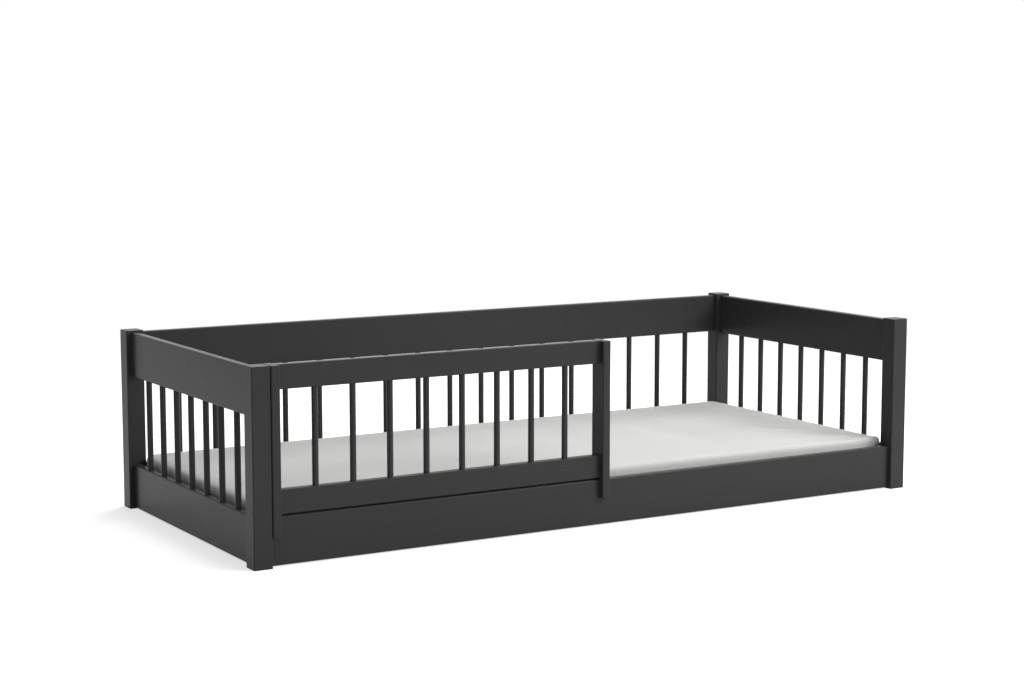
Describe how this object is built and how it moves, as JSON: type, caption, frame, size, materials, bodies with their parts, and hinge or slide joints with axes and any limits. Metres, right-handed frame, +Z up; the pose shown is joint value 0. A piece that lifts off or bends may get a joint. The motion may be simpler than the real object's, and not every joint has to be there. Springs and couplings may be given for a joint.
{
  "type": "toddler floor bed",
  "caption": "Low rectangular child's bed of painted wood with square posts, spindled ends and back, a short spindled guard at the front, slats and a mattress.",
  "frame": {"origin": "On the floor, in the middle of the bed's bounding footprint.", "axes": "+X runs along the bed, from the end with the guard to the open end; +Y points from the open front with the guard to the back; +Z points up."},
  "size_m": [1.97, 0.873, 0.477],
  "materials": {
    "dark_paint": "satin",
    "pine": "matte",
    "mattress_cover": "matte",
    "webbing": "matte",
    "steel": "satin",
    "cap_plastic": "satin"
  },
  "bodies": {
    "frame": {"front_left_post": "dark_paint", "front_right_post": "dark_paint", "back_left_post": "dark_paint", "back_right_post": "dark_paint", "front_rail": "dark_paint", "back_bottom_rail": "dark_paint", "back_top_rail": "dark_paint", "left_bottom_rail": "dark_paint", "left_top_rail": "dark_paint", "right_bottom_rail": "dark_paint", "right_top_rail": "dark_paint", "left_spindle_1": "dark_paint", "left_spindle_2": "dark_paint", "left_spindle_3": "dark_paint", "left_spindle_4": "dark_paint", "left_spindle_5": "dark_paint", "left_spindle_6": "dark_paint", "left_spindle_7": "dark_paint", "right_spindle_1": "dark_paint", "right_spindle_2": "dark_paint", "right_spindle_3": "dark_paint", "right_spindle_4": "dark_paint", "right_spindle_5": "dark_paint", "right_spindle_6": "dark_paint", "right_spindle_7": "dark_paint", "back_spindles": "dark_paint", "front_ledger": "pine", "back_ledger": "pine", "ledger_screws": "steel", "bolt_caps": "cap_plastic", "frame_bolts": "steel", "barrel_nuts": "steel", "locating_pins": "pine"},
    "guard": {"guard_upright_left": "dark_paint", "guard_upright_right": "dark_paint", "guard_lower_rail": "dark_paint", "guard_top_rail": "dark_paint", "guard_spindle_1": "dark_paint", "guard_spindle_2": "dark_paint", "guard_spindle_3": "dark_paint", "guard_spindle_4": "dark_paint", "guard_spindle_5": "dark_paint", "guard_spindle_6": "dark_paint", "guard_spindle_7": "dark_paint", "guard_spindle_8": "dark_paint"},
    "slat_base": {"slat_01": "pine", "slat_02": "pine", "slat_03": "pine", "slat_04": "pine", "slat_05": "pine", "slat_06": "pine", "slat_07": "pine", "slat_08": "pine", "slat_09": "pine", "slat_10": "pine", "slat_11": "pine", "slat_12": "pine", "slat_strap_front": "webbing", "slat_strap_back": "webbing"},
    "mattress": {"mattress": "mattress_cover"}
  },
  "joints": [
    {"name": "guard_lift", "type": "slide", "parent": "frame", "child": "guard", "axis": [0, 0, 1], "range_m": [0, 0.45]},
    {"name": "slat_base_lift", "type": "slide", "parent": "frame", "child": "slat_base", "axis": [0, 0, 1], "range_m": [0, 0.46]},
    {"name": "mattress_lift", "type": "slide", "parent": "slat_base", "child": "mattress", "axis": [0, 0, 1], "range_m": [0, 0.46]}
  ]
}
